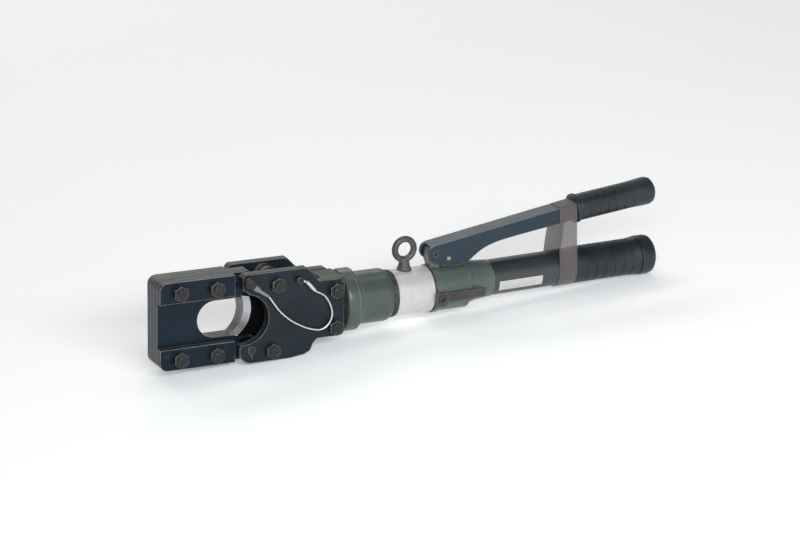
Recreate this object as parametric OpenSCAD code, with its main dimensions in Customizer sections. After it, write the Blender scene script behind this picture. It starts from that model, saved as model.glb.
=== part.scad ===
// Hand-pumped hydraulic cable cutter with a swing-open, pin-latched cutting frame.
// Millimetres. +X runs from the cutting head to the grips, +Z is up, y = 0 is the mid plane.

/* [Cutting frame] */
// Height of the laminated cutting frame
frame_h = 120; // [116:1:124]
// Thickness of one frame plate, four make the frame
lam_t = 11.1; // [10.5:0.1:11.4]
// Corner radius at the closed end
frame_r = 11; // [8:1:14]
// Length of the outer strips from the closed end
strip_len = 106; // [100:1:106]
// Height of each outer strip
strip_h = 29; // [26:1:32]
// Radius of the fixed blade's round end
throat_r = 25; // [24:0.5:25]

/* [Head plates] */
// Thickness of each side plate
plate_t = 13; // [11:1:14]
// Height of the plate's top edge above the cylinder axis
plate_top = 61.5; // [60:0.5:63]
// Height of the narrow neck where the plates meet the cylinder
neck_h = 41; // [40:0.5:42]
// Radius of the round cut-out behind the throat
cut_r = 34.5; // [33:0.5:35]

/* [Cutting motion] */
// Blade stroke
stroke = 72; // [68:1:72]
// Radius of the moving blade's cutting edge
edge_r = 40; // [39:0.5:40]

/* [Cylinder] */
// Radius of the main cylinder section
cyl_r = 36; // [34:0.5:38]
// Radius of the locking collar
collar_r = 42.4; // [41:0.2:44]
// Bore radius of the cylinder
bore_r = 26; // [24:0.5:27]
// Radius of the ram
ram_r = 14; // [12:0.5:15]

/* [Pump and handle] */
// Radius of the reservoir tube
tube_r = 24.7; // [24:0.1:26]
// Width of the pump handle channel
handle_w = 28; // [26:1:30]
// Radius of the lower grip
grip_r = 25.6; // [25:0.1:27]
// Radius of the upper grip
upper_r = 19; // [17:0.5:20]
// Width of the carrying strap
strap_w = 28; // [22:1:30]

/* [Hidden] */
$fn = 64;
gap = 0.3;
fit = 0.06;
tool_len = 747;
hinge_x = 125.4;
hinge_z = -43.4;
lobe_r = 17.5;
ear_r = frame_h / 2 + hinge_z;
ground = lobe_r - hinge_z;
plate_in = 19;
plate_out = plate_in + plate_t;
frame_y = 2 * lam_t;
stud_r = 6;
back_wall = 24;
nut_r = 10.95;
nut_h = 7.4;
stud_end = nut_h + 3;
frame_studs = [28, 78.8];
frame_stud_z = 45.3;
plate_studs = [[161.4, 43.8], [154.6, -46.2], [245.7, 25.7], [245.7, -25.7]];
window_h = 26.3;
throat_x = 81.5;
blade_y0 = -plate_in + 0.4;
blade_y1 = -lam_t - gap;
blade_z0 = -25;
blade_z1 = 27.5;
arc_z = 11.6;
edge_x = 81.7;
body_x = 85.6;
body_r = edge_r + 4;
carrier_end = 224;
guide_x = 80.6;
guide_z = 7;
latch_x = 120;
latch_z = 51;
latch_r = 6;
cyl_x0 = 268;
cyl_x1 = 398;
stop_x = 306;
piston_x = stop_x + stroke;
eye_x = 362.5;
eye_z = 59.7;
cant = 1.15;
cant_x = 284;
pivot_x = 403.5;
pivot_z = 51.5;
link_dx = 19.5;
link_dz = -7.8;
lug_w = 8;
cheek_in = handle_w / 2 - 3.8;
plunger_x = 423.2;
handle_a = 9.3;
grip_a = 6.6;
grip_x = 620;
grip_z = 88.3;
upper_len = 127.4;
strap_x = 604;
strap_t = 1.6;
strap_mid = 46;
lever_y = 33.5;
rope_r = 1.5;
rope_y = -36.5;
rope_pts = [[148, 29], [163, 8], [178, -6], [192, -15], [207, -22], [222, -25], [233, -20],
    [239, -8], [237, 6], [228, 21], [214.7, 29.2]];
rope_steps = 4;
spring_turns = 6;
spring_r = 20.5;
wire_r = 2;

// ---- shared helpers ----

module placed() {
    translate([-tool_len / 2, 0, ground]) children();
}

// Profile drawn in x and z, thickened from y0 to y1.
module slab(y0, y1) {
    translate([0, y1, 0]) rotate([90, 0, 0]) linear_extrude(height = y1 - y0) children();
}

// Round bar across the tool.
module bar_y(x, z, r, y0, y1) {
    translate([x, y1, z]) rotate([90, 0, 0]) cylinder(r = r, h = y1 - y0);
}

// Round bar along the tool axis.
module bar_x(x0, x1, r) {
    translate([x0, 0, 0]) rotate([0, 90, 0]) cylinder(r = r, h = x1 - x0);
}

// Profile of radius and station, turned round the tool axis.
module turned() {
    rotate([0, 90, 0]) rotate_extrude() children();
}

module canted() {
    translate([cant_x, 0, 0]) rotate([0, -cant, 0]) translate([-cant_x, 0, 0]) children();
}

module along_grip() {
    translate([grip_x, 0, grip_z]) rotate([0, -grip_a, 0]) children();
}

module stud(y_face) {
    translate([0, -y_face - stud_end, 0]) rotate([-90, 0, 0]) {
        cylinder(r1 = stud_r - 0.9, r2 = stud_r, h = 0.9);
        translate([0, 0, 0.9]) cylinder(r = stud_r, h = 2 * (y_face + stud_end) - 1.8);
        translate([0, 0, 2 * (y_face + stud_end) - 0.9])
            cylinder(r1 = stud_r, r2 = stud_r - 0.9, h = 0.9);
    }
}

module nut(y_face) {
    translate([0, y_face, 0]) rotate([-90, 0, 0]) difference() {
        intersection() {
            rotate([0, 0, 90]) cylinder(r = nut_r, h = nut_h, $fn = 6);
            union() {
                cylinder(r = nut_r + 0.1, h = nut_h - 1.2);
                translate([0, 0, nut_h - 1.2]) cylinder(r1 = nut_r + 0.1, r2 = nut_r - 1.6, h = 1.2);
            }
        }
        translate([0, 0, -1]) cylinder(r = stud_r, h = nut_h + 2);
    }
}

module nut_pair(y_face) {
    nut(y_face);
    mirror([0, 1, 0]) nut(y_face);
}

// ---- cutting frame ----

module frame_2d() {
    difference() {
        union() {
            translate([frame_r, -frame_h / 2]) square([hinge_x - frame_r, frame_h]);
            translate([0, -frame_h / 2 + frame_r]) square([frame_r + 1, frame_h - 2 * frame_r]);
            for (s = [-1, 1]) translate([frame_r, s * (frame_h / 2 - frame_r)]) circle(r = frame_r);
            translate([hinge_x - 1, window_h]) square([5.6, frame_h / 2 - window_h]);
            translate([hinge_x, hinge_z]) circle(r = ear_r);
        }
        for (x = frame_studs) for (s = [-1, 1]) translate([x, s * frame_stud_z])
            circle(r = stud_r + 0.1);
        translate([hinge_x, hinge_z]) circle(r = 5 + fit);
        translate([latch_x, latch_z]) circle(r = latch_r + gap);
    }
}

// One inner plate with the throat: a round end that opens towards the hinge.
module throat_2d() {
    difference() {
        frame_2d();
        translate([throat_x, -throat_r]) square([140, 2 * throat_r]);
        translate([throat_x, 0]) circle(r = throat_r);
    }
}

module frame_plate_front() {
    color("#27323a") slab(-lam_t, 0) throat_2d();
}

module frame_plate_rear() {
    color("#27323a") difference() {
        slab(0, lam_t) throat_2d();
        translate([throat_x, 0, 0]) rotate([-90, 0, 0]) intersection() {
            translate([0, 0, 1.5]) cylinder(r1 = throat_r, r2 = throat_r + 5, h = lam_t);
            translate([-40, -throat_r, 0]) cube([40, 2 * throat_r, 20]);
        }
    }
}

module strip(z0) {
    color("#27323a") slab(-frame_y, -lam_t) intersection() {
        frame_2d();
        translate([-1, z0]) square([strip_len + 1, strip_h]);
    }
}

module strip_front_top() { strip(frame_h / 2 - strip_h); }
module strip_front_bottom() { strip(-frame_h / 2); }

module frame_plate_back() {
    color("#27323a") slab(lam_t, frame_y) difference() {
        intersection() {
            frame_2d();
            translate([-1, -frame_h / 2]) square([strip_len + 1, frame_h]);
        }
        translate([back_wall, strip_h - frame_h / 2]) square([strip_len, frame_h - 2 * strip_h]);
    }
}

module frame_studs() {
    color("#4a4a48") for (x = frame_studs) for (s = [-1, 1])
        translate([x, 0, s * frame_stud_z]) stud(frame_y);
}

module frame_nuts() {
    color("#3f4042") for (x = frame_studs) for (s = [-1, 1])
        translate([x, 0, s * frame_stud_z]) nut_pair(frame_y);
}

// ---- head plates ----

module plate_2d(shoulder) {
    difference() {
        union() {
            polygon([[112.5, 41], [112.5, 57.5], [116.5, plate_top], [shoulder, plate_top],
                [shoulder + 14, neck_h + 6], [shoulder + 18, neck_h], [252, neck_h], [259, neck_h - 7],
                [259, -31.5], [252, -38.5], [219.5, -38.5], [213.8, -44.3], [209.9, -53.6],
                [201.5, -58.1], [180, -ground], [hinge_x, -ground], [hinge_x, -40], [117, -36],
                [117, 30], [122, 35.4]]);
            translate([hinge_x, hinge_z]) circle(r = lobe_r);
            translate([252, neck_h - 7]) circle(r = 7);
            translate([252, -31.5]) circle(r = 7);
        }
        translate([115, 0]) circle(r = cut_r);
        for (p = plate_studs) translate(p) circle(r = stud_r + 0.1);
        translate([hinge_x, hinge_z]) circle(r = 5);
        translate([latch_x, latch_z]) circle(r = latch_r + fit);
    }
}

module side_plate_front() {
    color("#2b3238") difference() {
        slab(-plate_out, -plate_in) plate_2d(204);
        bar_y(191.5, 46.9, 3, -plate_out - 1, -plate_out + 8);
    }
}

module side_plate_rear() {
    color("#2b3238") slab(plate_in, plate_out) plate_2d(198);
}

module hinge_pin() {
    color("#50504e") bar_y(hinge_x, hinge_z, 5, -plate_out - 1, plate_out + 1);
}

module hinge_washers() {
    color("#50504e") for (s = [-1, 1]) translate([hinge_x, s * (lam_t + plate_in + gap) / 2, hinge_z])
        rotate([90, 0, 0]) difference() {
            cylinder(r = 12, h = plate_in - lam_t - gap, center = true);
            cylinder(r = 5, h = 20, center = true);
        }
}

module spacer(x, z, r) {
    difference() {
        bar_y(x, z, r, -plate_in, plate_in);
        bar_y(x, z, stud_r + 0.1, -plate_in - 1, plate_in + 1);
        for (s = [-1, 1]) translate([x, s * 8, z]) rotate([90, 0, 0]) difference() {
            cylinder(r = r + 1, h = 10, center = true);
            cylinder(r = r - 3, h = 11, center = true);
        }
    }
}

module upper_spacer() { color("#3b3c3d") spacer(plate_studs[0][0], plate_studs[0][1], 15.5); }
module lower_spacer() { color("#3b3c3d") spacer(plate_studs[1][0], plate_studs[1][1], 12); }

module guide_plate() {
    color("#5b6064") difference() {
        slab(blade_y1 + 0.5, lam_t - 0.1) difference() {
            translate([100, -24.6]) square([38, 48.2]);
            translate([guide_x, guide_z]) circle(r = 40);
        }
        bar_y(guide_x, guide_z, 40.8, -0.5, 0.5);
    }
}

module guide_rails() {
    color("#3b3c3d") for (z = [17.6, -24.6]) translate([128, lam_t - 0.1, z])
        cube([47, plate_in - lam_t + 0.1, 6]);
}

module yoke_block() {
    color("#2b3238") difference() {
        translate([232, -plate_in, -37.5]) cube([30, 2 * plate_in, 77]);
        bar_x(230, 264, ram_r + 1);
        for (s = [-1, 1]) bar_y(245.7, s * 25.7, stud_r + 0.1, -plate_in - 1, plate_in + 1);
    }
}

module plate_studs() {
    color("#4a4a48") for (p = plate_studs) translate([p[0], 0, p[1]]) stud(plate_out);
}

module plate_nuts() {
    color("#3f4042") for (p = plate_studs) translate([p[0], 0, p[1]]) nut_pair(plate_out);
}

// ---- latch pin and lanyard ----

module latch_pin() {
    color("#6a6a66") bar_y(latch_x, latch_z, latch_r, -plate_out - 1, -lam_t - 0.7);
}

module latch_knob() {
    color("#4c4a47") translate([latch_x, -plate_out - 1, latch_z]) rotate([90, 0, 0]) {
        cylinder(r = 7.6, h = 7.2);
        translate([0, 0, 7.2]) cylinder(r1 = 7.6, r2 = 6, h = 1.6);
    }
}

module toward(a, b) {
    d = [b[0] - a[0], 0, b[1] - a[1]];
    translate([a[0], 0, a[1]]) rotate([0, 90 - atan2(d[2], d[0]), 0]) children();
}

module latch_sleeve() {
    color("#8a8a86") {
        difference() {
            translate([0, rope_y - 1, 0]) toward([latch_x + 5.5, latch_z - 4.6], [131, 42])
                cylinder(r = 4.6, h = 9);
            bar_y(latch_x, latch_z, 7.6, -plate_out - 12, -plate_out);
        }
        ferrule([132, 41], [147, 30], 3);
    }
}

module ferrule(a, b, r) {
    len = norm([b[0] - a[0], b[1] - a[1]]);
    translate([0, rope_y, 0]) toward(a, b) {
        cylinder(r = r, h = len * 0.6);
        translate([0, 0, len * 0.6]) cylinder(r1 = r, r2 = r * 0.75, h = len * 0.4);
    }
}

module lanyard_ferrules() {
    color("#c8c8c4") {
        ferrule([202, 43.4], [214, 30], 2.6);
        ferrule([197, 45.6], [202, 43.4], 1.6);
    }
}

module anchor_screw() {
    color("#50504e") {
        bar_y(191.5, 46.9, 3, -plate_out, -plate_out + 7.9);
        bar_y(191.5, 46.9, 5, rope_y - 2.6, -plate_out);
    }
}

// Smooth point on the rope between route points i and i + 1.
function at(i) = rope_pts[max(0, min(len(rope_pts) - 1, i))];
function smooth(i, t) = 0.5 * (2 * at(i) + (at(i + 1) - at(i - 1)) * t
    + (2 * at(i - 1) - 5 * at(i) + 4 * at(i + 1) - at(i + 2)) * t * t
    + (3 * at(i) - at(i - 1) - 3 * at(i + 1) + at(i + 2)) * t * t * t);
function route() = [for (i = [0:len(rope_pts) - 2]) for (k = [0:rope_steps - 1])
    smooth(i, k / rope_steps), rope_pts[len(rope_pts) - 1]];
function heading(p, i) = let (a = p[max(0, i - 1)], b = p[min(len(p) - 1, i + 1)])
    atan2(b[1] - a[1], b[0] - a[0]);

// Skin over rings of eight points each, closed at both ends.
function skin(n) = concat([[for (j = [7:-1:0]) j]],
    [for (i = [0:n - 2]) for (j = [0:7])
        [i * 8 + j, i * 8 + (j + 1) % 8, (i + 1) * 8 + (j + 1) % 8, (i + 1) * 8 + j]],
    [[for (j = [0:7]) (n - 1) * 8 + j]]);

module lanyard_rope() {
    p = route();
    rings = [for (i = [0:len(p) - 1]) for (j = [0:7]) let (h = heading(p, i), a = j * 45)
        [p[i][0] - rope_r * cos(a) * sin(h), rope_y + rope_r * sin(a),
        p[i][1] + rope_r * cos(a) * cos(h)]];
    color("#d0d0cc") polyhedron(points = rings, faces = skin(len(p)), convexity = 6);
}

// ---- blade and ram ----

// Sliding blade in the recess in front of the inner plates, bevelled on its outer face only.
module blade_edge() {
    color("#d5d8da") intersection() {
        slab(blade_y0, blade_y1) translate([90, blade_z0]) square([60, blade_z1 - blade_z0]);
        difference() {
            bar_y(body_x, arc_z, body_r, blade_y0, blade_y1);
            translate([edge_x, blade_y1 + 0.01, arc_z]) rotate([90, 0, 0])
                cylinder(r1 = edge_r, r2 = edge_r + 7.9, h = blade_y1 - blade_y0 + 0.02);
        }
    }
}

module blade_carrier() {
    color("#33363a") slab(blade_y0, blade_y1) difference() {
        translate([100, blade_z0]) square([carrier_end - 100, blade_z1 - blade_z0]);
        translate([body_x, arc_z]) circle(r = body_r);
    }
}

module ram_head() {
    color("#55585a") difference() {
        translate([212, blade_y0, -15.5]) cube([16, 15.5 - blade_y0, 31]);
        translate([211, blade_y0 - 1, -16]) cube([carrier_end - 211, blade_y1 - blade_y0 + 1, 32]);
    }
}

module ram() {
    color("#b9bcbe") bar_x(228, piston_x, ram_r);
}

module piston() {
    color("#8b8f92") turned() difference() {
        translate([0, piston_x]) square([bore_r - fit, 13]);
        translate([bore_r - 3, piston_x + 4.5]) square([4, 4]);
    }
}

module piston_seal() {
    color("#1d1d1d") turned() translate([bore_r - 3, piston_x + 4.5]) square([3 - fit, 4]);
}

module return_spring() {
    n = spring_turns * 20;
    span = piston_x - 275 - 2 * wire_r - 0.4;
    rings = [for (i = [0:n]) for (j = [0:7]) let (t = i * 18, a = j * 45, r = spring_r + wire_r * cos(a))
        [275.2 + wire_r + span * i / n + wire_r * sin(a), r * cos(t), r * sin(t)]];
    color("#7d8083") polyhedron(points = rings, faces = skin(n + 1), convexity = 10);
}

// ---- hydraulic cylinder ----

module gland() {
    color("#8b8f92") turned() {
        translate([ram_r + fit, 262]) square([29.9 - ram_r - fit, 5.9]);
        translate([ram_r + fit, 267.8]) square([bore_r - 0.05 - ram_r - fit, 7.2]);
    }
}

module lock_collar() {
    color("#4a5658") turned() difference() {
        polygon([[30, 262], [collar_r - 5, 262], [collar_r - 1.5, 263.5], [collar_r, 267],
            [collar_r, 281.5], [collar_r - 1.2, 283], [30, 283]]);
        translate([collar_r - 0.6, 278]) square([2, 1]);
    }
}

module hydraulic_cylinder() {
    color("#566365") difference() {
        turned() polygon([[bore_r, cyl_x0], [29.9, cyl_x0], [29.9, 283.2], [cyl_r + 0.8, 283.2],
            [cyl_r + 0.8, 287], [cyl_r, 287.8], [cyl_r, 326], [cyl_r - 0.7, 329.5], [cyl_r - 2.2, 332.5],
            [cyl_r - 4.6, 335], [31.2, 335], [31.2, cyl_x1], [0, cyl_x1], [0, cyl_x1 - 6],
            [bore_r, cyl_x1 - 6]]);
        translate([eye_x, 0, 29.6]) cylinder(r = 10.1, h = 10);
        translate([eye_x, 0, 27.4]) cylinder(r = 4, h = 10);
    }
}

module retaining_rings() {
    color("#3c4244") turned() {
        translate([31.2, 336]) square([1.6, 2]);
        translate([31.2, 339.5]) square([1.1, 1.5]);
        translate([31.2, 396]) square([1.6, 2]);
    }
}

module label_band() {
    color("#dcdcda") difference() {
        turned() translate([31.2, 342]) square([0.5, 53.5]);
        translate([eye_x, 0, 25]) cylinder(r = 10.3, h = 12);
    }
}

module eyebolt() {
    color("#5d6263") difference() {
        union() {
            translate([eye_x, 0, 27.4]) cylinder(r = 4, h = 5);
            translate([eye_x, 0, 29.6]) cylinder(r = 10, h = 4.4);
            translate([eye_x, 0, 34]) cylinder(r1 = 8.6, r2 = 6.4, h = 12);
            translate([eye_x, 0, eye_z]) rotate([90, 0, 0]) rotate_extrude()
                translate([14, 0]) circle(r = 4.4);
        }
        bar_y(eye_x, eye_z, 10, -8, 8);
    }
}

// ---- pump ----

module pump_body() {
    color("#525e60") difference() {
        union() {
            bar_x(cyl_x1, 405, 33.2);
            bar_x(405, 450, 31.7);
            canted() {
                translate([449, 0, 0]) rotate([0, 90, 0]) cylinder(r1 = 30.4, r2 = 28.6, h = 12);
                translate([461, 0, 0]) rotate([0, 90, 0]) cylinder(r1 = 27.8, r2 = 25.9, h = 22);
                bar_x(483, 489, 25.6);
                bar_x(488, 499, tube_r - 2.6);
            }
            slab(-lug_w, lug_w) polygon([[cyl_x1 + 0.1, 28], [cyl_x1 + 0.1, 34.5], [pivot_x - 7.6, 40],
                [pivot_x - 7.6, pivot_z], [pivot_x + 7.6, pivot_z], [pivot_x + 7.6, 44],
                [pivot_x + 9, 28]]);
            bar_y(pivot_x, pivot_z, 7.6, -lug_w, lug_w);
            translate([398, -1.5, 32]) cube([3, 3, 5]);
        }
        bar_y(pivot_x, pivot_z, 4 + fit, -20, 20);
        translate([plunger_x, 0, -8]) cylinder(r = 5 + fit, h = 50);
        bar_y(436, 4, 5, 20, 40);
        bar_y(402.5, -5, 3, -40, -24);
    }
}

module pump_gland() {
    color("#9a9d9e") difference() {
        translate([plunger_x, 0, 31.7]) cylinder(r = 8.8, h = 2);
        translate([plunger_x, 0, 30]) cylinder(r = 5 + fit, h = 6);
    }
}

module pump_plunger() {
    color("#b9bcbe") difference() {
        union() {
            translate([plunger_x, 0, -5]) cylinder(r = 5, h = 42);
            translate([plunger_x - 7.5, -7.5, 36.4]) cube([15, 15, 13]);
        }
        for (x = [pivot_x + 18.2, pivot_x + 21.4]) bar_y(x, pivot_z + link_dz, 3.6, -10, 10);
        translate([pivot_x + 18.2, -10, pivot_z + link_dz - 3.6]) cube([3.2, 20, 7.2]);
    }
}

module valve_plug() {
    color("#6a6c6c") translate([436, 0, 4]) rotate([-90, 0, 0]) {
        translate([0, 0, 20]) cylinder(r = 5, h = 11.75);
        translate([0, 0, 31.75]) cylinder(r = 8, h = 1.6);
        translate([0, 0, 33.35]) cylinder(r = 7, h = 4.5, $fn = 6);
    }
}

module release_lever() {
    color("#5a5650") difference() {
        union() {
            slab(-lever_y - 4, -lever_y - gap) polygon([[406, -10], [408, 2.5], [469, 3.5], [469, -8.5],
                [440, -9.5], [415, -11]]);
            slab(-lever_y - 5.8, -lever_y - gap) polygon([[394, -12], [394, 1.5], [396, 4], [409, 4],
                [411, 2], [411, -13], [408, -15.5], [397, -15.5]]);
        }
        bar_y(402.5, -5, 3 + fit, -45, -20);
    }
}

module release_screw() {
    color("#6a6c6c") {
        bar_y(402.5, -5, 3, -lever_y - 6.1, -24);
        bar_y(402.5, -5, 5, -lever_y - 8, -lever_y - 6.1);
    }
}

// ---- reservoir and lower grip ----

module reservoir_tube() {
    color("#1f252c") canted() difference() {
        bar_x(489, tool_len - 20, tube_r);
        bar_x(488, tool_len - 19, tube_r - 2.5);
    }
}

module reservoir_bladder() {
    color("#2a2a2a") canted() difference() {
        bar_x(505, 705, 20);
        bar_x(507, 703, 18);
    }
}

module end_cap() {
    color("#6a6c6c") canted() {
        bar_x(tool_len - 32, tool_len - 20, tube_r - 2.6);
        bar_x(tool_len - 20, tool_len - 14, tube_r);
    }
}

module name_plate() {
    color("#c4c6c6") canted() intersection() {
        difference() {
            bar_x(497, 564, tube_r + 0.6);
            bar_x(496, 565, tube_r);
        }
        translate([496, -30, -13.5]) cube([70, 15, 13.8]);
    }
}

module lower_grip() {
    color("#1a2026") canted() difference() {
        turned() polygon([[0, tool_len - 14], [tube_r, tool_len - 14], [tube_r, 618.5],
            [grip_r - 0.4, 618.5], [grip_r, 621], [grip_r, tool_len - 36], [grip_r + 1.9, tool_len - 20],
            [grip_r + 1.9, tool_len - 9], [grip_r + 0.6, tool_len - 4], [grip_r - 3, tool_len - 1.1],
            [0, tool_len - 0.2]]);
        for (i = [0:6]) turned() translate([grip_r - 0.7, 634 + 14.6 * i]) square([3, 1.6]);
    }
}

// ---- handle ----

module cheek_2d() {
    translate([pivot_x, pivot_z]) circle(r = 12);
    polygon([[401.6, 63.34], [grip_x - 1.4, 98.9], [grip_x + 1.4, 77.2], [566.5, 69.4], [531.9, 64.7],
        [514, 62], [501.1, 59.7], [494, 58], [487.2, 56], [478, 52.6], [469.2, 47.8], [462, 42.6],
        [456, 38], [450, 34.6], [443, 32.6], [434, 31.9], [424, 32], [414, 33.8], [406, 37], [397.5, 41.1]]);
}

module handle_lever() {
    color("#31434f") difference() {
        union() {
            for (y = [-handle_w / 2, cheek_in]) slab(y, y + 3.8) cheek_2d();
            slab(-cheek_in - 0.1, cheek_in + 0.1) polygon([[397.4, 62.6], [grip_x - 1.4, 98.9],
                [grip_x - 0.9, 95.1], [398, 58.8]]);
        }
        bar_y(pivot_x, pivot_z, 4, -20, 20);
        bar_y(pivot_x + link_dx, pivot_z + link_dz, 3, -20, 20);
    }
}

module pivot_pin() {
    color("#6a6c6c") bar_y(pivot_x, pivot_z, 4, -handle_w / 2 - 0.8, handle_w / 2 + 0.8);
}

module link_pin() {
    color("#9b8a5c") bar_y(pivot_x + link_dx, pivot_z + link_dz, 3, -handle_w / 2 - 1.6,
        handle_w / 2 + 1.6);
}

module handle_tube() {
    color("#31434f") along_grip() difference() {
        bar_x(7, upper_len - 8.4, 13);
        bar_x(6, upper_len - 7, 10.5);
    }
}

module grip_collar() {
    color("#1d2329") along_grip() turned() polygon([[0, 0.2], [upper_r + 0.6, 0.2], [upper_r + 1.6, 1.6],
        [upper_r + 1.6, 5], [upper_r, 7], [0, 7]]);
}

module upper_grip() {
    color("#1a2026") along_grip() difference() {
        turned() polygon([[13, 7], [upper_r - 1, 7], [upper_r - 0.4, 10], [upper_r - 0.4, upper_len - 36],
            [upper_r + 0.6, upper_len - 18], [upper_r + 0.6, upper_len - 10],
            [upper_r - 1.4, upper_len - 4.4], [upper_r - 6, upper_len - 1], [0, upper_len],
            [0, upper_len - 8.4], [13, upper_len - 8.4]]);
        for (i = [0:5]) turned() translate([upper_r - 1.1, 20 + 13.6 * i]) square([3, 1.6]);
    }
}

// ---- carrying strap ----

module strap_legs(z0, z1, y0, y1) {
    for (s = [-1, 1]) translate([strap_x - strap_w / 2, 0, 0]) rotate([90, 0, 90])
        linear_extrude(height = strap_w)
            polygon([[s * y0, z0], [s * (y0 + strap_t), z0], [s * (y1 + strap_t), z1], [s * y1, z1]]);
}

module strap_lower() {
    color("#a99c9c") {
        strap_legs(9, strap_mid, tube_r + 0.1, 19.4);
        canted() intersection() {
            difference() {
                bar_x(strap_x - strap_w / 2, strap_x + strap_w / 2, tube_r + strap_t);
                bar_x(strap_x - strap_w, strap_x + strap_w, tube_r + 0.02);
            }
            translate([strap_x - strap_w, -40, -40]) cube([2 * strap_w, 80, 43]);
        }
    }
}

module strap_upper() {
    color("#a99c9c") {
        strap_legs(strap_mid + 0.5, 80, 19.3, handle_w / 2 + 0.2);
        for (s = [-1, 1]) slab(s * (handle_w / 2 + 0.1 + strap_t / 2) - strap_t / 2,
            s * (handle_w / 2 + 0.1 + strap_t / 2) + strap_t / 2)
            polygon([[strap_x - strap_w / 2, 76], [strap_x - strap_w / 2, 94.2],
                [strap_x + strap_w / 2, 98.8], [strap_x + strap_w / 2, 78]]);
        slab(-handle_w / 2 - 0.1 - strap_t, handle_w / 2 + 0.1 + strap_t)
            polygon([[strap_x - strap_w / 2, 94.3], [strap_x - strap_w / 2, 95.8],
                [strap_x + strap_w / 2, 100.4], [strap_x + strap_w / 2, 98.9]]);
    }
}

// ---- drawing ----

placed() {
    frame_plate_front();
    frame_plate_rear();
    strip_front_top();
    strip_front_bottom();
    frame_plate_back();
    frame_studs();
    frame_nuts();
    side_plate_front();
    side_plate_rear();
    hinge_pin();
    hinge_washers();
    upper_spacer();
    lower_spacer();
    guide_plate();
    guide_rails();
    yoke_block();
    plate_studs();
    plate_nuts();
    latch_pin();
    latch_knob();
    latch_sleeve();
    lanyard_ferrules();
    lanyard_rope();
    anchor_screw();
    blade_edge();
    blade_carrier();
    ram_head();
    ram();
    piston();
    piston_seal();
    return_spring();
    gland();
    lock_collar();
    hydraulic_cylinder();
    retaining_rings();
    label_band();
    eyebolt();
    pump_body();
    pump_gland();
    pump_plunger();
    valve_plug();
    release_lever();
    release_screw();
    reservoir_tube();
    reservoir_bladder();
    end_cap();
    name_plate();
    lower_grip();
    handle_lever();
    pivot_pin();
    link_pin();
    handle_tube();
    grip_collar();
    upper_grip();
    strap_lower();
    strap_upper();
}
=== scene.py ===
"""Hydraulic cable cutter: finishes, lanyard, strap, spring, floor, light and camera round the CAD frame."""
import bpy
import bmesh
import math
from mathutils import Matrix, Vector


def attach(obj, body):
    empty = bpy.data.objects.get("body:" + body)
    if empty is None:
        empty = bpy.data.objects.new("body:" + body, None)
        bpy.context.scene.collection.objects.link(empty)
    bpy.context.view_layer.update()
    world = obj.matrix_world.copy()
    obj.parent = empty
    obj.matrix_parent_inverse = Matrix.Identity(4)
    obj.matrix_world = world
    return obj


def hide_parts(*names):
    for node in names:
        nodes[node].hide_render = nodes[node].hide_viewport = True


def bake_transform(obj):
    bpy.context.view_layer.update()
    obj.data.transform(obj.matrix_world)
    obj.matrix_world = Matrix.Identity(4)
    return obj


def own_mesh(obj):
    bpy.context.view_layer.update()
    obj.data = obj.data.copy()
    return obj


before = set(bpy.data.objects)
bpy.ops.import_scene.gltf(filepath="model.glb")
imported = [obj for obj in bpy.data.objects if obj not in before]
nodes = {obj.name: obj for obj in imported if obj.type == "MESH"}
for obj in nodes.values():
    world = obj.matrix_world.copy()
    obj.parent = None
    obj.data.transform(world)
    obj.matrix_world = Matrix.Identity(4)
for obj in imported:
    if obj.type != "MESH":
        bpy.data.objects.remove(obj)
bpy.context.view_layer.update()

# The CAD's drawing coordinates (mm, x from the head's end, z from the cylinder axis) to the row frame.
X0, Z0 = 373.5, 60.9


def at(x, y, z):
    return Vector(((x - X0) / 1000, y / 1000, (z + Z0) / 1000))


# ---- camera ----

# Fitted to the photograph's viewing angle.
EYE = at(-1373.3, -3457.6, 1229.4)
TARGET = at(357.0, 0, 16.7)
ROLL = math.radians(1.17)
LENS_MM, SENSOR_MM = 135, 36
NEAR, FAR = 0.1, 50


def make_camera():
    """A long lens from the front left, above the tool."""
    data = bpy.data.cameras.new("camera")
    data.lens, data.sensor_width = LENS_MM, SENSOR_MM
    data.clip_start, data.clip_end = NEAR, FAR
    cam = bpy.data.objects.new("camera", data)
    bpy.context.scene.collection.objects.link(cam)
    ahead = (TARGET - EYE).normalized()
    right = ahead.cross(Vector((0, 0, 1))).normalized()
    up = right.cross(ahead)
    side = math.cos(ROLL) * right + math.sin(ROLL) * up
    top = -math.sin(ROLL) * right + math.cos(ROLL) * up
    turn = Matrix((side, top, -ahead)).transposed().to_4x4()
    cam.matrix_world = Matrix.Translation(EYE) @ turn
    bpy.context.scene.camera = cam


make_camera()


# ---- node trees ----

# How far a normal has to bend, over the wear's radius, to start and to finish being rubbed.
BEND_START, BEND_FULL = 0.006, 0.09
# The share of the upward-facing pattern (the plates' layer marks and the painted lighter top) that a
# piece's end faces show.
END_SHARE = 0.05


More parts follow.
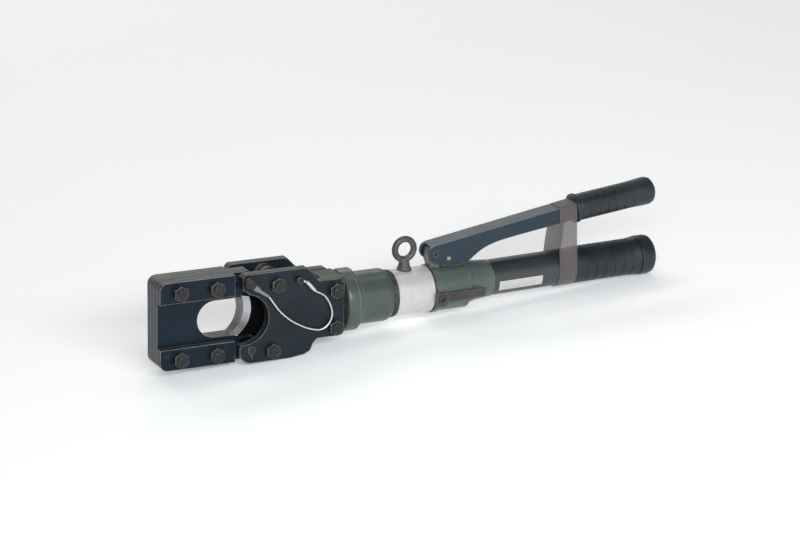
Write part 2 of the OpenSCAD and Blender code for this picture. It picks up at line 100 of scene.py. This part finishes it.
class Paint:
    """A node tree being built, with short calls for the nodes that every finish uses."""

    def __init__(self, name):
        self.mat = bpy.data.materials.new(name)
        self.mat.use_nodes = True
        self.tree = self.mat.node_tree
        self.shader = self.tree.nodes["Principled BSDF"]
        texture = self.tree.nodes.new("ShaderNodeTexCoord")
        self.coord, self.normal = texture.outputs["Object"], texture.outputs["Normal"]

    def node(self, kind, **inputs):
        """A new node; each keyword is one of its settings or, failing that, one of its inputs."""
        made = self.tree.nodes.new("ShaderNode" + kind)
        for key, value in inputs.items():
            if hasattr(made, key):
                setattr(made, key, value)
            else:
                self.plug(made.inputs[key.replace("_", " ")], value)
        return made

    def plug(self, socket, value):
        if isinstance(value, bpy.types.NodeSocket):
            self.tree.links.new(value, socket)
        else:
            socket.default_value = value

    def noise(self, scale, detail=3.0, rough=0.55, stretch=None):
        made = self.node("TexNoise", Scale=scale, Detail=detail, Roughness=rough)
        self.plug(made.inputs["Vector"], self.stretched(stretch) if stretch else self.coord)
        return made.outputs["Fac"]

    def stretched(self, scale):
        made = self.node("Mapping")
        self.plug(made.inputs["Vector"], self.coord)
        made.inputs["Scale"].default_value = scale
        return made.outputs["Vector"]

    def ramp(self, value, low, high):
        """0 up to low, 1 from high on."""
        made = self.node("MapRange", clamp=True)
        self.plug(made.inputs["Value"], value)
        made.inputs["From Min"].default_value = low
        made.inputs["From Max"].default_value = high
        return made.outputs["Result"]

    def math(self, kind, a, b=0.0):
        made = self.tree.nodes.new("ShaderNodeMath")
        made.operation = kind
        self.plug(made.inputs[0], a)
        self.plug(made.inputs[1], b)
        return made.outputs[0]

    def times(self, a, b):
        return self.math("MULTIPLY", a, b)

    def plus(self, a, b):
        return self.math("ADD", a, b)

    def mix(self, share, a, b):
        """Colour a where share is 0, colour b where it is 1."""
        made = self.tree.nodes.new("ShaderNodeMix")
        made.data_type = "RGBA"
        self.plug(made.inputs["Factor"], share)
        for socket, value in ((made.inputs[6], a), (made.inputs[7], b)):
            self.plug(socket, value if isinstance(value, bpy.types.NodeSocket) else (*value, 1))
        return made.outputs[2]

    def edges(self, radius, amount):
        """The amount along sharp edges, broken up by noise, and 0 on flat faces."""
        bevel = self.node("Bevel", samples=4)
        bevel.inputs["Radius"].default_value = radius
        geometry = self.tree.nodes.new("ShaderNodeNewGeometry")
        dot = self.tree.nodes.new("ShaderNodeVectorMath")
        dot.operation = "DOT_PRODUCT"
        self.tree.links.new(bevel.outputs["Normal"], dot.inputs[0])
        self.tree.links.new(geometry.outputs["Normal"], dot.inputs[1])
        bent = self.math("SUBTRACT", 1.0, dot.outputs["Value"])
        patches = self.ramp(self.noise(scale=260), low=0.25, high=0.55)
        broken = self.times(self.ramp(bent, BEND_START, BEND_FULL), patches)
        return self.times(broken, amount)

    def upward(self):
        """1 on the piece's top faces, a little on its ends, 0 on its broad faces."""
        parts = self.node("SeparateXYZ")
        self.plug(parts.inputs[0], self.normal)
        ends = self.times(self.math("ABSOLUTE", parts.outputs["X"]), END_SHARE)
        return self.plus(self.math("MAXIMUM", parts.outputs["Z"], 0.0), ends)

    def bump(self, height, strength, distance):
        made = self.node("Bump")
        made.inputs["Strength"].default_value = strength
        made.inputs["Distance"].default_value = distance
        self.plug(made.inputs["Height"], height)
        self.plug(self.shader.inputs["Normal"], made.outputs["Normal"])

    def set(self, **values):
        """Sets or links the shader's own inputs."""
        for key, value in values.items():
            self.plug(self.shader.inputs[key.replace("_", " ")], value)


def shade(colour, factor):
    return tuple(min(1.0, c * factor) for c in colour)


# ---- materials ----

def painted(name, colour, rough=0.4, wear=0.5, worn_and_lit_top=(0.3, 0.3, 0.29), metallic=0.0, grain=900.0,
            depth=0.00004, coat=0.0, mottle=0.25, layers_and_lit_top=0.0, specular=0.35):
    """Paint or blackening over metal: mottled and finely grained, with scuffs and edges rubbed to the wear
    colour.

    The layer strength argument sets how strongly the plates' stacked-layer marks show, mixed toward the
    wear colour, on the faces that look upward; this lighter top is partly those marks and partly painted
    light, a painted highlight on the top faces.
    """
    p = Paint(name)
    cloud = p.ramp(p.noise(scale=22, detail=4), low=0.3, high=0.7)
    base = p.mix(cloud, shade(colour, 1 - mottle), shade(colour, 1 + mottle))
    scuff = p.ramp(p.noise(scale=120, detail=5, rough=0.7, stretch=(0.3, 1, 1)), low=0.6, high=0.75)
    base = p.mix(p.times(scuff, 0.06), base, worn_and_lit_top)
    # Painted highlight: on faces that look upward the layer marks lighten toward the wear colour, partly
    # real marks and partly the light on the tops painted in.
    if layers_and_lit_top:
        stacked = p.noise(scale=1.0, detail=3, rough=0.7, stretch=(4, 420, 4))
        lit_top_layers = p.times(p.times(p.ramp(stacked, low=0.42, high=0.62), p.upward()), layers_and_lit_top)
        base = p.mix(lit_top_layers, base, worn_and_lit_top)
    rub = p.edges(radius=0.0016, amount=wear)
    p.set(Specular_IOR_Level=specular)
    p.set(Base_Color=p.mix(rub, base, worn_and_lit_top), Metallic=metallic)
    gloss = p.ramp(p.noise(scale=60, detail=4), low=0.2, high=0.8)
    p.set(Roughness=p.plus(p.times(gloss, 0.14), rough - 0.07))
    p.set(Coat_Weight=coat, Coat_Roughness=0.12)
    p.bump(p.noise(scale=grain, detail=2), strength=0.35, distance=depth)
    return p.mat


def steel(name, colour, rough=0.3, along=(1, 40, 40), streak=0.3, dirt=0.3, metallic=1.0):
    """Bare steel with brushing along one way, and dull patches."""
    p = Paint(name)
    lines = p.noise(scale=40, detail=3, rough=0.6, stretch=along)
    patches = p.ramp(p.noise(scale=30, detail=5, rough=0.6), low=0.4, high=0.75)
    base = p.mix(p.ramp(lines, low=0.3, high=0.7), shade(colour, 1 - streak), shade(colour, 1 + streak))
    base = p.mix(p.times(patches, dirt), base, shade(colour, 0.35))
    p.set(Base_Color=base, Metallic=metallic)
    p.set(Roughness=p.plus(p.times(lines, 0.25), rough - 0.12))
    p.bump(lines, strength=0.3, distance=0.00005)
    return p.mat


def cast(name, colour, bare=(0.42, 0.43, 0.4)):
    """Painted casting: green-grey, with a coarse sand-cast grain under the paint."""
    p = Paint(name)
    cloud = p.ramp(p.noise(scale=18, detail=4), low=0.3, high=0.7)
    base = p.mix(cloud, shade(colour, 0.82), shade(colour, 1.16))
    rub = p.edges(radius=0.001, amount=0.5)
    p.set(Base_Color=p.mix(rub, base, bare), Metallic=0.1)
    p.set(Roughness=p.plus(p.times(p.noise(scale=90, detail=3), 0.2), 0.26))
    sand = p.plus(p.noise(scale=700, detail=3), p.times(p.noise(scale=160, detail=2), 0.6))
    p.bump(sand, strength=0.4, distance=0.00009)
    p.set(Coat_Weight=0.06, Coat_Roughness=0.2)
    return p.mat


def rubber(name, colour, rough=0.42):
    """Moulded rubber: fine leathery grain and a light bloom."""
    p = Paint(name)
    bloom = p.ramp(p.noise(scale=25, detail=5), low=0.35, high=0.75)
    p.set(Base_Color=p.mix(bloom, colour, shade(colour, 1.7)))
    p.set(Roughness=p.plus(p.times(bloom, 0.15), rough - 0.05))
    cells = p.node("TexVoronoi", Scale=900.0)
    p.plug(cells.inputs["Vector"], p.coord)
    p.bump(cells.outputs["Distance"], strength=0.3, distance=0.00006)
    return p.mat


def webbing(name, colour):
    """Woven strap: crossing ribs of a twill with soft fuzz, loose enough to let some light through."""
    p = Paint(name)
    weave = []
    for turn, scale in ((0.0, 520.0), (math.pi / 2, 380.0)):
        spun = p.node("Mapping")
        p.plug(spun.inputs["Vector"], p.coord)
        spun.inputs["Rotation"].default_value = (0, turn, 0.4)
        wave = p.node("TexWave", Scale=scale, Distortion=0.8, Detail=1.0)
        p.plug(wave.inputs["Vector"], spun.outputs["Vector"])
        weave.append(wave.outputs["Fac"])
    rib = p.times(weave[0], weave[1])
    cloud = p.ramp(p.noise(scale=35, detail=4), low=0.3, high=0.7)
    tone = p.mix(cloud, shade(colour, 0.88), shade(colour, 1.1))
    p.set(Base_Color=p.mix(p.times(rib, 0.35), tone, shade(colour, 0.7)), Roughness=0.75)
    p.set(Sheen_Weight=0.3, Sheen_Roughness=0.5, Alpha=0.62)
    p.bump(rib, strength=0.6, distance=0.0002)
    return p.mat


def foil(name, colour):
    """Thin silver foil: faint fine ribs and small dents."""
    p = Paint(name)
    ribs = p.node("TexWave", Scale=55.0, Distortion=0.3, bands_direction="X")
    p.plug(ribs.inputs["Vector"], p.coord)
    dents = p.ramp(p.noise(scale=70, detail=4), low=0.3, high=0.75)
    p.set(Base_Color=p.mix(dents, shade(colour, 0.9), shade(colour, 1.05)), Metallic=0.25)
    p.set(Roughness=p.plus(p.times(dents, 0.12), 0.32))
    p.bump(p.plus(p.times(ribs.outputs["Fac"], 0.8), dents), strength=0.45, distance=0.00016)
    return p.mat


def fastener(name, colour, bare=(0.46, 0.45, 0.42)):
    """Blackened bolt steel: worn flats and fine thread rings across the tool's width."""
    p = Paint(name)
    rings = p.node("TexWave", Scale=95.0, Distortion=0.0, bands_direction="Y")
    p.plug(rings.inputs["Vector"], p.coord)
    cloud = p.ramp(p.noise(scale=70, detail=5), low=0.3, high=0.7)
    rub = p.edges(radius=0.0009, amount=0.9)
    base = p.mix(cloud, shade(colour, 0.7), shade(colour, 1.25))
    p.set(Base_Color=p.mix(rub, base, bare), Metallic=0.55)
    p.set(Roughness=p.plus(p.times(cloud, 0.16), 0.34))
    rough = p.plus(p.noise(scale=500, detail=3), p.times(rings.outputs["Fac"], 0.7))
    p.bump(rough, strength=0.4, distance=0.00008)
    return p.mat


# ---- finishes ----

finishes = {
    # blackened and plate carry the painted lighter top through their layer strength.
    "blackened": painted("blackened_steel", (0.0032, 0.0112, 0.0212), rough=0.34, wear=1.0,
                         worn_and_lit_top=(0.3, 0.28, 0.25), grain=700, depth=0.00007, layers_and_lit_top=0.6, specular=0.22),
    "plate": painted("blackened_plate", (0.0095, 0.0155, 0.021), rough=0.38, wear=1.0,
                     worn_and_lit_top=(0.3, 0.27, 0.23), grain=700, depth=0.00007, layers_and_lit_top=0.5, specular=0.24),
    # The parts inside the head are near black with almost no specular: partly their oiled black finish,
    # partly painted shade of the recess they sit in.
    "interior": painted("oiled_black_and_painted_shade", (0.0014, 0.0014, 0.0015), rough=0.6, wear=0.1,
                        worn_and_lit_top=(0.03, 0.03, 0.028), specular=0.03),
    "fastener": fastener("blackened_fastener", (0.03, 0.029, 0.0275)),
    "bright": steel("ground_steel", (0.5, 0.51, 0.53), rough=0.24, along=(6, 60, 6), streak=0.12, dirt=0.1),
    "guide": steel("guide_steel", (0.16, 0.165, 0.16), rough=0.4, along=(6, 60, 6), streak=0.2,
                   dirt=0.3, metallic=0.7),
    "rope": steel("rope_steel", (0.74, 0.74, 0.72), rough=0.34, along=(30, 30, 30), streak=0.15,
                  dirt=0.15, metallic=0.8),
    "sleeve": steel("sleeve_steel", (0.3, 0.3, 0.29), rough=0.38, along=(30, 30, 30), streak=0.25,
                    dirt=0.3, metallic=0.8),
    "casting": cast("green_grey_casting", (0.094, 0.122, 0.11)),
    "cylinder": cast("green_grey_cylinder", (0.066, 0.084, 0.075)),
    "forged": painted("forged_grey", (0.085, 0.09, 0.085), rough=0.42, worn_and_lit_top=(0.4, 0.4, 0.38),
                      metallic=0.4, grain=500, depth=0.00012),
    "lever": painted("brown_grey_cast", (0.06, 0.058, 0.05), rough=0.42, worn_and_lit_top=(0.3, 0.28, 0.24),
                     metallic=0.2, grain=500, depth=0.0001),
    "foil": foil("silver_foil", (0.62, 0.6, 0.57)),
    "slate": painted("slate_paint", (0.0075, 0.0235, 0.038), rough=0.34, wear=0.7, worn_and_lit_top=(0.2, 0.25, 0.27),
                     grain=1200, depth=0.00003, coat=0.25, mottle=0.15),
    "navy": painted("navy_paint", (0.02, 0.025, 0.03), rough=0.36, wear=0.3, worn_and_lit_top=(0.2, 0.22, 0.24),
                    grain=1200, depth=0.00002, mottle=0.2, specular=1.0),
    "brass": steel("brass_pin", (0.45, 0.39, 0.27), rough=0.34, along=(10, 10, 10), streak=0.2),
    "rubber": rubber("grip_rubber", (0.011, 0.015, 0.019)),
    "seal": rubber("seal_rubber", (0.012, 0.012, 0.012), rough=0.5),
    "webbing": webbing("strap_webbing", (0.147, 0.126, 0.127)),
}
groups = {
    "blackened": ["frame_plate_front", "frame_plate_rear", "strip_front_top", "strip_front_bottom",
                  "frame_plate_back"],
    "plate": ["side_plate_front", "side_plate_rear", "yoke_block"],
    "interior": ["blade_carrier", "ram_head", "guide_rails", "hinge_washers", "lower_spacer",
                 "return_spring"],
    "fastener": ["frame_studs", "frame_nuts", "plate_studs", "plate_nuts", "hinge_pin", "upper_spacer",
                 "latch_pin", "latch_knob", "anchor_screw", "retaining_rings", "release_screw",
                 "pivot_pin", "valve_plug", "end_cap"],
    "guide": ["guide_plate"],
    "bright": ["blade_edge", "ram", "piston", "gland", "pump_plunger", "pump_gland"],
    "rope": ["lanyard_ferrules"],
    "sleeve": ["latch_sleeve"],
    "casting": ["pump_body"],
    "cylinder": ["hydraulic_cylinder", "lock_collar"],
    "forged": ["eyebolt"],
    "lever": ["release_lever"],
    "foil": ["label_band", "name_plate"],
    "slate": ["handle_lever", "handle_tube"],
    "navy": ["reservoir_tube"],
    "brass": ["link_pin"],
    "rubber": ["lower_grip", "upper_grip", "grip_collar"],
    "seal": ["piston_seal", "reservoir_bladder"],
}

# How far sharp edges are rounded, in metres, and the finishes that differ from the rest.
ROUNDING = 0.0009
ROUNDING_OF = {
    "fastener": 0.0005, "bright": 0.0002, "rope": 0.0004, "sleeve": 0.0004, "guide": 0.0003,
    "foil": 0.0001, "rubber": 0.0005, "slate": 0.0022, "forged": 0.0008, "lever": 0.0008,
}
WELD_GAP = 0.00001
FLAT_ANGLE, SHARP_ANGLE = math.radians(0.5), math.radians(35)
FLAT_WEIGHT = 80


def soften(obj, width):
    """Welds the imported faces, merges flat ones and rounds the sharp edges."""
    weld = obj.modifiers.new("weld", "WELD")
    weld.merge_threshold = WELD_GAP
    flat = obj.modifiers.new("flat", "DECIMATE")
    flat.decimate_type = "DISSOLVE"
    flat.angle_limit = FLAT_ANGLE
    bevel = obj.modifiers.new("bevel", "BEVEL")
    bevel.width, bevel.segments = width, 3
    bevel.limit_method, bevel.angle_limit = "ANGLE", SHARP_ANGLE
    bevel.use_clamp_overlap = True
    normals = obj.modifiers.new("normals", "WEIGHTED_NORMAL")
    normals.weight = FLAT_WEIGHT


for finish_name, members in groups.items():
    for name in members:
        piece = nodes[name]
        piece.data.materials.clear()
        piece.data.materials.append(finishes[finish_name])
        piece.data.shade_smooth()
        soften(piece, ROUNDING_OF.get(finish_name, ROUNDING))


# ---- shared mesh helpers ----

def add_mesh(name, verts, faces, material):
    mesh = bpy.data.meshes.new(name)
    mesh.from_pydata([tuple(v) for v in verts], [], faces)
    mesh.materials.append(material)
    mesh.shade_smooth()
    obj = bpy.data.objects.new(name, mesh)
    bpy.context.scene.collection.objects.link(obj)
    return obj


def catmull(points, steps):
    """A smooth line through the points."""
    def get(i):
        return points[max(0, min(len(points) - 1, i))]
    line = []
    for i in range(len(points) - 1):
        a, b, c, d = get(i - 1), get(i), get(i + 1), get(i + 2)
        for k in range(steps):
            t = k / steps
            line.append(0.5 * (2 * b + (c - a) * t + (2 * a - 5 * b + 4 * c - d) * t * t
                               + (3 * b - a - 3 * c + d) * t ** 3))
    line.append(points[-1])
    return line


# ---- lanyard ----

# The route, in drawing coordinates, from the latch sleeve down, round and up to the anchor screw.
ROPE_Y = -36.5
ROPE_ROUTE = [(148, 29), (163, 8), (178, -6), (192, -15), (207, -22), (222, -25), (233, -20), (239, -8),
              (237, 6), (228, 21), (214.7, 29.2)]
ROUTE_STEPS = 24
ROPE_R = 0.0013
ROPE_SIDES = 24
STRANDS = 6
LAY_LENGTH = 0.011
GROOVE = 0.2


def make_rope():
    """Wire lanyard: its six outer strands are ribs that wind round the tube."""
    line = catmull([at(x, ROPE_Y, z) for x, z in ROPE_ROUTE], ROUTE_STEPS)
    verts, travelled = [], 0.0
    for i, p in enumerate(line):
        ahead = (line[min(i + 1, len(line) - 1)] - line[max(i - 1, 0)]).normalized()
        across = Vector((0, 1, 0))
        over = ahead.cross(across).normalized()
        if i:
            travelled += (p - line[i - 1]).length
        for j in range(ROPE_SIDES):
            a = 2 * math.pi * j / ROPE_SIDES
            lay = abs(math.sin(STRANDS / 2 * (a - 2 * math.pi * travelled / LAY_LENGTH)))
            r = ROPE_R * (1 - GROOVE + GROOVE * lay)
            verts.append(p + over * (r * math.cos(a)) + across * (r * math.sin(a)))
    faces = []
    for i in range(len(line) - 1):
        here, there = i * ROPE_SIDES, (i + 1) * ROPE_SIDES
        for j in range(ROPE_SIDES):
            k = (j + 1) % ROPE_SIDES
            faces.append((here + j, here + k, there + k, there + j))
    last = (len(line) - 1) * ROPE_SIDES
    faces += [tuple(range(ROPE_SIDES))[::-1], tuple(last + j for j in range(ROPE_SIDES))]
    rope = add_mesh("lanyard", verts, faces, finishes["rope"])
    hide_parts("lanyard_rope")
    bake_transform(rope)


make_rope()


# ---- carrying strap ----

STRAP_W, STRAP_T = 28.0, 1.5
STRAP_X = 604.0
# On the handle the band slopes with it and sits a little further along than on the tube.
HANDLE_SLOPE = math.tan(math.radians(9.3))
HANDLE_HALF = 14.25
HANDLE_SHIFT = 2.5
# The tube's radius with the band's clearance, and how steeply its axis rises from the cant on.
TUBE_R = 24.95
TUBE_RISE = 0.0201
CANT_X = 284
# The arc under the tube, in degrees, and the steps along it and across the band.
ARC_START, ARC_SWEEP, ARC_STEPS = 4, 188, 16
STRAP_ACROSS = 8


def strap_path():
    """The closed path as (across, up, share), where share is 1 on the handle and 0 on the tube."""
    tube_z = TUBE_RISE * (STRAP_X - CANT_X)
    top = [(0, 96.75, 1), (7, 96.75, 1), (12.2, 96.6, 1), (13.9, 95.9, 1)]
    left = [(HANDLE_HALF, 94.5, 1), (HANDLE_HALF + 0.15, 85, 1), (HANDLE_HALF + 0.3, 77.5, 1),
            (16.6, 66, 0.7), (19.4, 48, 0.35), (22.4, 28, 0.1)]
    under = []
    for k in range(ARC_STEPS + 1):
        a = math.radians(ARC_START - ARC_SWEEP * k / ARC_STEPS)
        under.append((TUBE_R * math.cos(a), tube_z + TUBE_R * math.sin(a), 0))
    right = [(-y, z, share) for y, z, share in left[::-1]]
    close = [(-y, z, share) for y, z, share in top[:0:-1]]
    return top + left + under + right + close


def strap_points(line, thick):
    """One skin of the band, lifted off the path by thick, which thins at the band's two edges."""
    points = []
    for i, (y, z, share) in enumerate(line):
        y0, z0, _ = line[i - 1]
        y1, z1, _ = line[(i + 1) % len(line)]
        out = Vector((0, z0 - z1, y1 - y0)).normalized()
        slope = HANDLE_SLOPE * share + TUBE_RISE * (1 - share)
        for k in range(STRAP_ACROSS + 1):
            u = k / STRAP_ACROSS - 0.5
            lift = thick * (1 - 0.5 * max(0.0, abs(u) * 2 - 0.75))
            x = STRAP_X + STRAP_W * u + HANDLE_SHIFT * share
            points.append(at(x, y + out.y * lift, z + STRAP_W * u * slope + out.z * lift))
    return points


def strap_faces(count):
    """Both skins of the band, and the two edges between them, round a path of count points."""
    faces = []
    row = STRAP_ACROSS + 1
    half = count * row
    for i in range(count):
        j = (i + 1) % count
        for k in range(STRAP_ACROSS):
            a, b, c, d = i * row + k, i * row + k + 1, j * row + k + 1, j * row + k
            faces += [(a, b, c, d), (half + d, half + c, half + b, half + a)]
        for k, flip in ((0, False), (STRAP_ACROSS, True)):
            quad = (i * row + k, j * row + k, half + j * row + k, half + i * row + k)
            faces.append(quad[::-1] if flip else quad)
    return faces


def face_outward(mesh):
    """Turns every face of a closed mesh to look outward."""
    bm = bmesh.new()
    bm.from_mesh(mesh)
    bmesh.ops.recalc_face_normals(bm, faces=bm.faces)
    bm.to_mesh(mesh)
    bm.free()


def make_strap():
    """One woven band round the handle and the tube."""
    line = strap_path()
    verts = strap_points(line, 0.0) + strap_points(line, STRAP_T)
    strap = add_mesh("strap", verts, strap_faces(len(line)), finishes["webbing"])
    face_outward(strap.data)
    smooth = strap.modifiers.new("smooth", "SUBSURF")
    smooth.levels = smooth.render_levels = 2
    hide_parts("strap_lower", "strap_upper")
    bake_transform(strap)


make_strap()


# ---- return spring ----


def make_spring():
    """The coil inside the cylinder: a copy of the CAD spring, carried with the main body."""
    mesh = nodes["return_spring"].data.copy()
    mesh.name = "coil_spring"
    spring = bpy.data.objects.new("coil_spring", mesh)
    bpy.context.scene.collection.objects.link(spring)
    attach(spring, "main")
    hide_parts("return_spring")
    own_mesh(spring)


make_spring()


# ---- floor and light ----

FLOOR_HALF = 12.0
# Points lower than this lie on the plates' flat underside; the floor is set below them by the same hair.
TOUCH = 0.0003
# The world's strength goes from WORLD_PALE to WORLD_DIM as the direction's height goes from low to high.
WORLD_PALE, WORLD_DIM = 0.75, 0.12
WORLD_LOW, WORLD_HIGH = 0.1, 0.4


def floor_paint():
    """A matt pale floor that glows a little, so that it stays even under the tool."""
    p = Paint("pale_floor")
    pale = p.mix(p.noise(scale=3), (0.93, 0.93, 0.93), (0.96, 0.96, 0.96))
    p.set(Base_Color=pale, Roughness=0.9)
    p.set(Specular_IOR_Level=0.0, Emission_Color=(1, 1, 1, 1), Emission_Strength=0.25)
    return p.mat


def make_floor():
    """The tool lies on the head plates and the far end of the lower grip, so the floor leans along X."""
    underside = [v.co for v in nodes["side_plate_front"].data.vertices if v.co.z < TOUCH]
    plate = max(underside, key=lambda c: c.x).copy()
    grip = [v.co for v in nodes["lower_grip"].data.vertices]
    low = min(grip, key=lambda c: (c.z - plate.z) / (c.x - plate.x))
    lean = math.atan2(low.z - plate.z, low.x - plate.x)
    mesh = bpy.data.meshes.new("floor")
    corners = [(x * FLOOR_HALF, y * FLOOR_HALF, 0) for x, y in ((-1, -1), (1, -1), (1, 1), (-1, 1))]
    mesh.from_pydata(corners, [], [(0, 1, 2, 3)])
    mesh.materials.append(floor_paint())
    floor = bpy.data.objects.new("floor", mesh)
    bpy.context.scene.collection.objects.link(floor)
    floor.matrix_world = Matrix.Translation((plate.x, 0, -TOUCH)) @ Matrix.Rotation(-lean, 4, "Y")


def make_world():
    """A dim studio with a pale wall round it, brightest at the horizon."""
    world = bpy.data.worlds.new("studio")
    world.use_nodes = True
    tree = world.node_tree
    direction = tree.nodes.new("ShaderNodeTexCoord")
    parts = tree.nodes.new("ShaderNodeSeparateXYZ")
    fade = tree.nodes.new("ShaderNodeMapRange")
    tree.links.new(direction.outputs["Generated"], parts.inputs[0])
    tree.links.new(parts.outputs["Z"], fade.inputs["Value"])
    fade.inputs["From Min"].default_value = WORLD_LOW
    fade.inputs["From Max"].default_value = WORLD_HIGH
    fade.inputs["To Min"].default_value = WORLD_PALE
    fade.inputs["To Max"].default_value = WORLD_DIM
    background = tree.nodes["Background"]
    background.inputs["Color"].default_value = (1, 1, 1, 1)
    tree.links.new(fade.outputs["Result"], background.inputs["Strength"])
    bpy.context.scene.world = world


def area_light(name, place, aim, size, power, colour=(1, 1, 1)):
    data = bpy.data.lights.new(name, "AREA")
    data.shape = "RECTANGLE"
    data.size, data.size_y = size
    data.energy, data.color = power, colour
    lamp = bpy.data.objects.new(name, data)
    bpy.context.scene.collection.objects.link(lamp)
    lamp.location = place
    lamp.rotation_euler = (Vector(aim) - Vector(place)).to_track_quat("-Z", "Y").to_euler()


make_floor()
make_world()
area_light("front_soft", place=(-0.5, -2.4, 1.3), aim=(0, 0, 0.05), size=(2.2, 0.55), power=62,
           colour=(0.9, 0.96, 1.0))
area_light("top_soft", place=(0.2, 0.5, 2.2), aim=(0, 0, 0), size=(2.0, 1.0), power=8,
           colour=(1.0, 0.97, 0.93))
area_light("back_soft", place=(0, 4.2, 3.2), aim=(0, 2.2, 0), size=(5.0, 1.6), power=85)
bpy.context.scene.view_settings.view_transform = "Standard"
